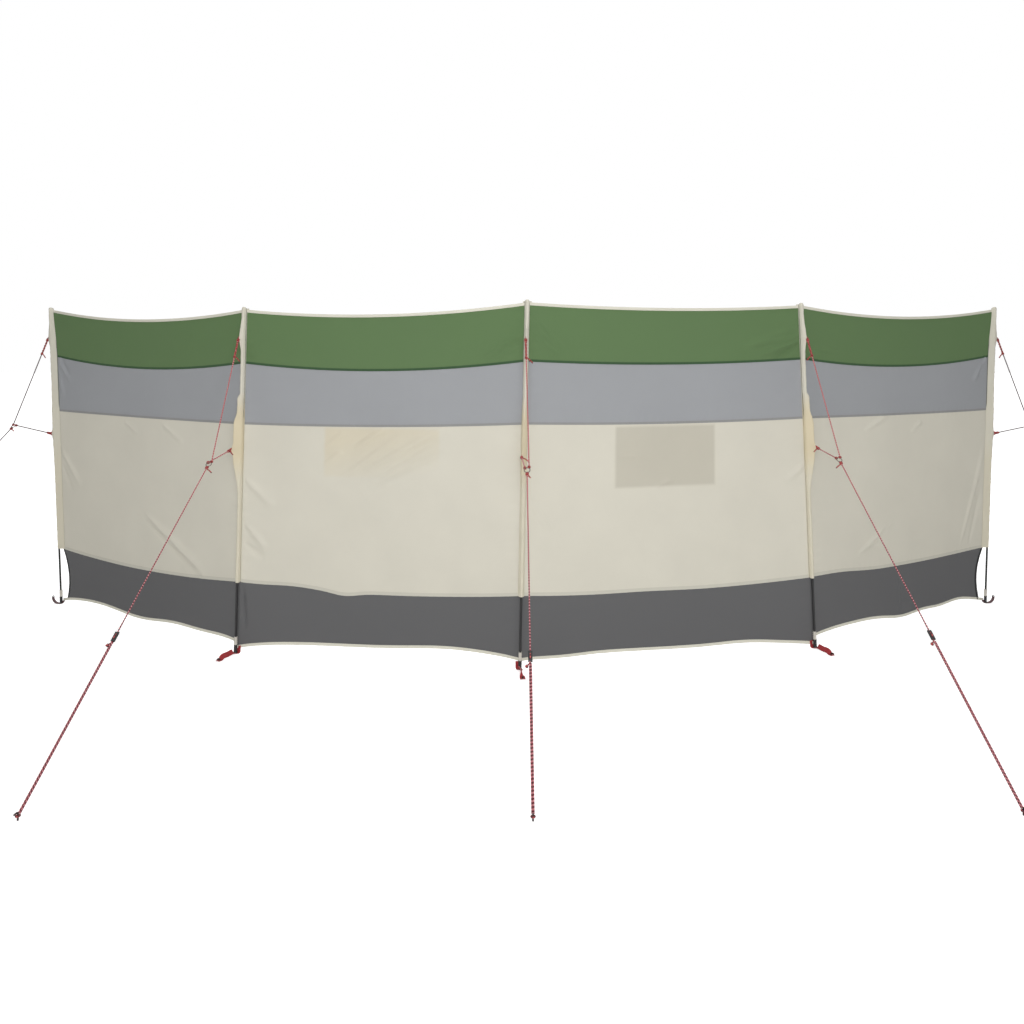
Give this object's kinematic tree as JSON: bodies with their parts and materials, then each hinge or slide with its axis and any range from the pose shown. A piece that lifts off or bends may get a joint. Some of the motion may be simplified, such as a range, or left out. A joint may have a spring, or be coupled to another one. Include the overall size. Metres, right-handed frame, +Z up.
{
  "type": "beach windbreak",
  "caption": "Beach windbreak: banded cloth bays on sleeved rods standing in an arc, with guy lines, rings, runners and foot straps.",
  "frame": {"origin": "flat foot of the centre rod's cap, on the ground", "axes": "+X along the wall, +Y towards the sheltered side that the arc curves round, +Z up"},
  "size_m": [7.315, 2.4016, 1.504],
  "materials": {
    "rod": "satin fibreglass",
    "cap_plastic": "moulded, satin",
    "binding_tape": "folded binding tape",
    "cream_cloth": "plain weave polyester",
    "light_grey_cloth": "plain weave polyester",
    "green_cloth": "plain weave polyester",
    "dark_grey_cloth": "plain weave polyester",
    "pocket_cloth": "plain weave polyester",
    "guy_cord": "braided cord with pale flecks",
    "red_webbing": "woven webbing",
    "ring_metal": "dark coated wire",
    "peg_steel": "dull steel wire"
  },
  "bodies": {
    "root": {"pole_1": "rod", "pole_2": "rod", "pole_3": "rod", "pole_4": "rod", "pole_5": "rod", "foot_caps": "cap_plastic", "tape_loops": "binding_tape", "sleeve_1": "cream_cloth", "sleeve_2": "cream_cloth", "sleeve_3": "cream_cloth", "sleeve_4": "cream_cloth", "sleeve_5": "cream_cloth", "green_band_1": "green_cloth", "green_band_2": "green_cloth", "green_band_3": "green_cloth", "green_band_4": "green_cloth", "grey_band_1": "light_grey_cloth", "grey_band_2": "light_grey_cloth", "grey_band_3": "light_grey_cloth", "grey_band_4": "light_grey_cloth", "cream_panel_1": "cream_cloth", "cream_panel_2": "cream_cloth", "cream_panel_3": "cream_cloth", "cream_panel_4": "cream_cloth", "skirt_1": "dark_grey_cloth", "skirt_2": "dark_grey_cloth", "skirt_3": "dark_grey_cloth", "skirt_4": "dark_grey_cloth", "top_hems": "binding_tape", "bottom_hems": "binding_tape", "guy_1": "guy_cord", "guy_2": "guy_cord", "guy_3": "guy_cord", "guy_4": "guy_cord", "guy_5": "guy_cord", "guy_tabs": "red_webbing", "guy_rings": "ring_metal", "guy_runners": "cap_plastic", "foot_straps": "red_webbing", "ground_pegs": "peg_steel", "storage_pockets": "pocket_cloth"}
  },
  "joints": []
}
